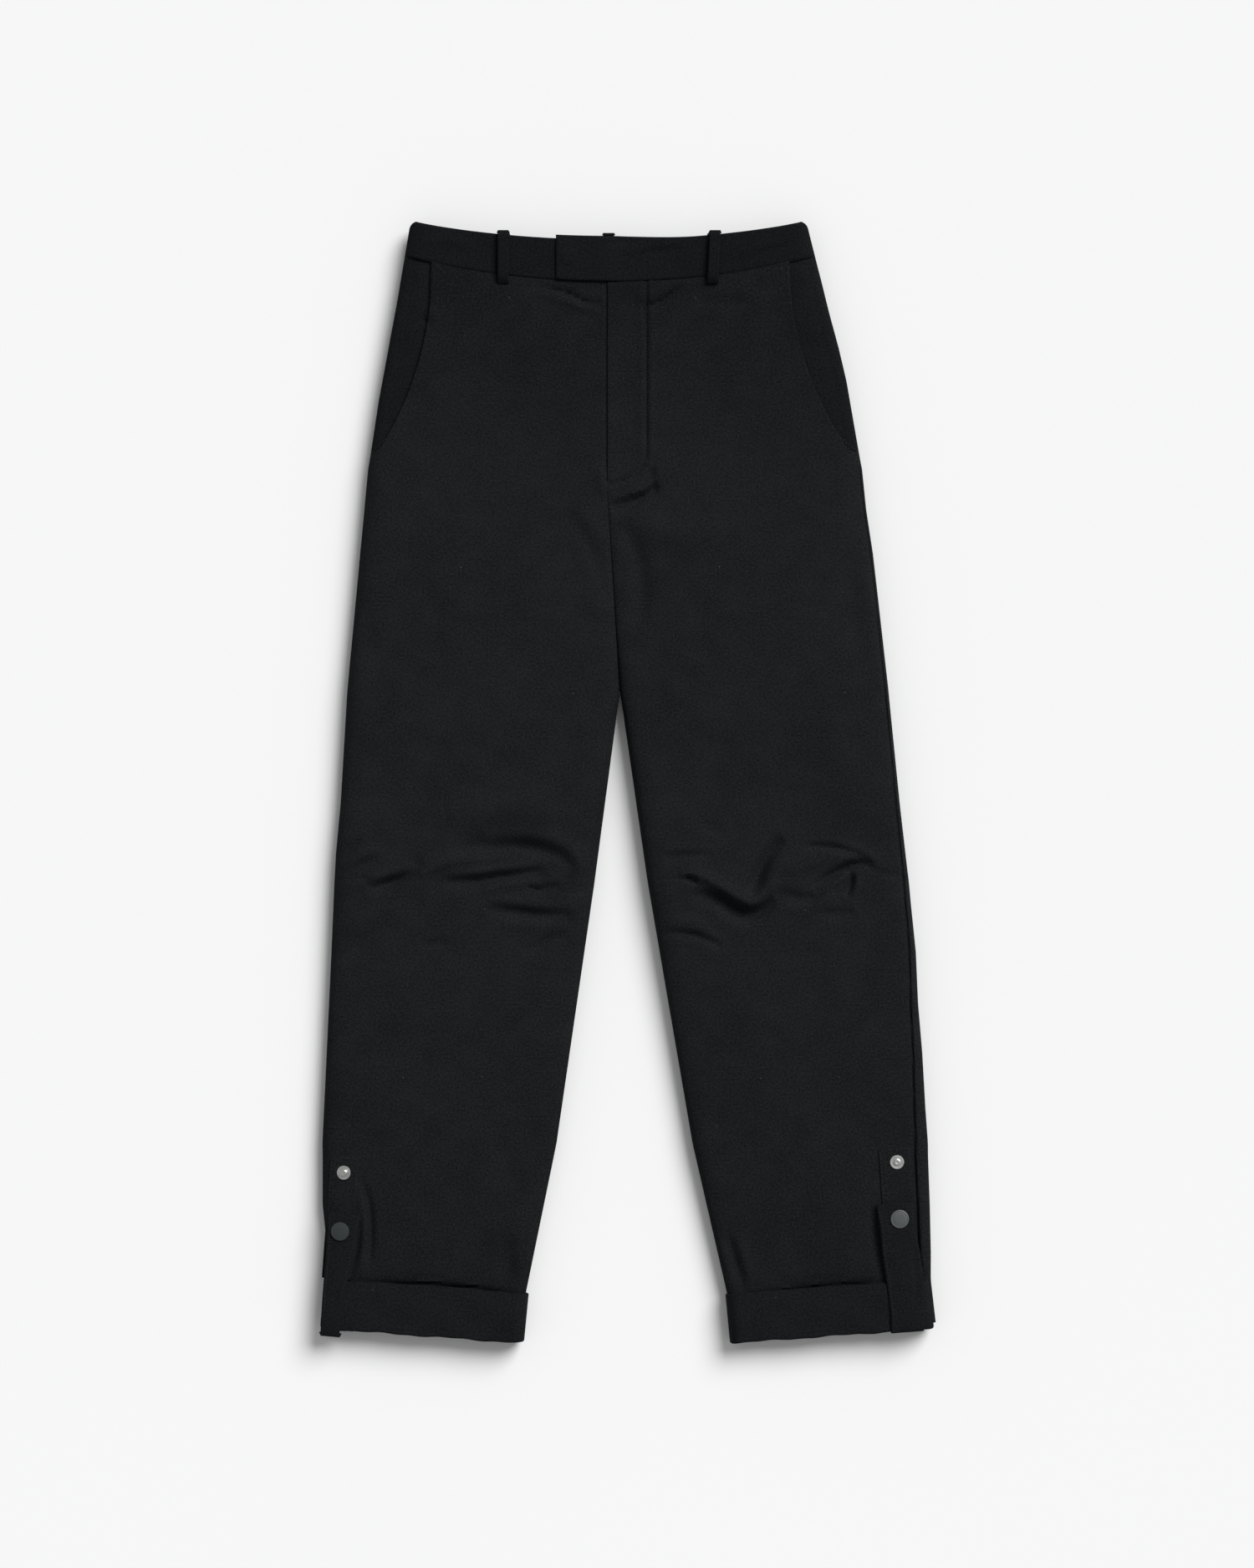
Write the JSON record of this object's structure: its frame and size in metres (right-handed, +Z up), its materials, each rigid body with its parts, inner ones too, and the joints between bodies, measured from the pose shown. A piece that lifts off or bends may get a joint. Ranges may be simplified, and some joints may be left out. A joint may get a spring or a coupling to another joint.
{
  "type": "ski pants",
  "caption": "Tailored black ski trousers laid flat: belt-loop waist with a closing extension, zip fly, slash pockets, shaped knees and turned-up cuffs with snap tabs.",
  "frame": {"origin": "on the floor under the middle of the trousers' outline as they lie flat", "axes": "+X to the wearer's left, +Y from the hems to the waist, +Z up from the floor, out of the front"},
  "size_m": [0.5668, 1.0326, 0.03],
  "materials": {
    "shell_cloth": "matt black twill with a soft hand",
    "band_cloth": "matt black twill, doubled",
    "tab_cloth": "matt black twill, doubled and stitched",
    "facing_cloth": "matt black twill",
    "lining_cloth": "smooth black lining",
    "zip_tape_cloth": "black woven tape",
    "zip_coil_plastic": "black nylon coil",
    "zip_metal": "black painted zinc",
    "snap_steel": "plated brass press studs, satin",
    "snap_cap_enamel": "dark gunmetal enamel"
  },
  "bodies": {
    "seat": {"front_thigh_right": "shell_cloth", "front_thigh_left": "shell_cloth", "back_yoke_right": "shell_cloth", "back_yoke_left": "shell_cloth", "back_seat_right": "shell_cloth", "back_seat_left": "shell_cloth", "back_thigh_right": "shell_cloth", "back_thigh_left": "shell_cloth", "waistband_back": "band_cloth", "waistband_front_right": "band_cloth", "waistband_front_left": "band_cloth", "waistband_lining_back": "lining_cloth", "waistband_lining_front_right": "lining_cloth", "waistband_lining_front_left": "lining_cloth", "belt_loop_front_right": "band_cloth", "belt_loop_front_left": "band_cloth", "belt_loop_back_right": "band_cloth", "belt_loop_back_middle": "band_cloth", "belt_loop_back_left": "band_cloth", "waist_snap_stud": "snap_steel", "pocket_facing_right": "facing_cloth", "pocket_facing_left": "facing_cloth", "pocket_bag_right": "lining_cloth", "pocket_bag_left": "lining_cloth", "fly_facing": "facing_cloth", "fly_shield": "facing_cloth", "zip_tape_right": "zip_tape_cloth", "zip_tape_left": "zip_tape_cloth", "zip_coil_right": "zip_coil_plastic", "zip_coil_left": "zip_coil_plastic", "zip_stops": "zip_metal"},
    "right_shin": {"front_shin_right": "shell_cloth", "back_shin_right": "shell_cloth", "cuff_right": "shell_cloth", "stud_strip_right": "tab_cloth", "hem_studs_right": "snap_steel", "tab_root_right": "tab_cloth"},
    "left_shin": {"front_shin_left": "shell_cloth", "back_shin_left": "shell_cloth", "cuff_left": "shell_cloth", "stud_strip_left": "tab_cloth", "hem_studs_left": "snap_steel", "tab_root_left": "tab_cloth"},
    "right_tab": {"hem_tab_right": "tab_cloth", "snap_socket_right": "snap_steel", "snap_cap_right": "snap_cap_enamel"},
    "left_tab": {"hem_tab_left": "tab_cloth", "snap_socket_left": "snap_steel", "snap_cap_left": "snap_cap_enamel"},
    "waist_tab": {"waist_extension": "band_cloth", "waist_snap_socket": "snap_steel"},
    "slider": {"zip_slider": "zip_metal"},
    "pull": {"zip_pull": "zip_metal"}
  },
  "joints": [
    {"name": "right_knee_fold", "type": "hinge", "parent": "seat", "child": "right_shin", "pos_m": [-0.14918, -0.09285, 0.027], "axis": [-1, 0, 0], "range_deg": [0, 175]},
    {"name": "left_knee_fold", "type": "hinge", "parent": "seat", "child": "left_shin", "pos_m": [0.13829, -0.09285, 0.027], "axis": [-1, 0, 0], "range_deg": [0, 175]},
    {"name": "right_hem_tab_open", "type": "hinge", "parent": "right_shin", "child": "right_tab", "pos_m": [-0.26145, -0.50387, 0.027], "axis": [0.9973, -0.0732, 0], "range_deg": [0, 175]},
    {"name": "left_hem_tab_open", "type": "hinge", "parent": "left_shin", "child": "left_tab", "pos_m": [0.25945, -0.50402, 0.027], "axis": [0.9973, 0.0732, 0], "range_deg": [0, 175]},
    {"name": "waist_tab_open", "type": "hinge", "parent": "seat", "child": "waist_tab", "pos_m": [-0.0181, 0.48285, 0.0276], "axis": [0, 1, 0], "range_deg": [0, 170]},
    {"name": "zip_run", "type": "slide", "parent": "seat", "child": "slider", "axis": [0, -1, 0], "range_m": [0, 0.1605]},
    {"name": "zip_pull_lift", "type": "hinge", "parent": "slider", "child": "pull", "pos_m": [-0.002, 0.45045, 0.0186], "axis": [-1, 0, 0], "range_deg": [0, 10]}
  ]
}
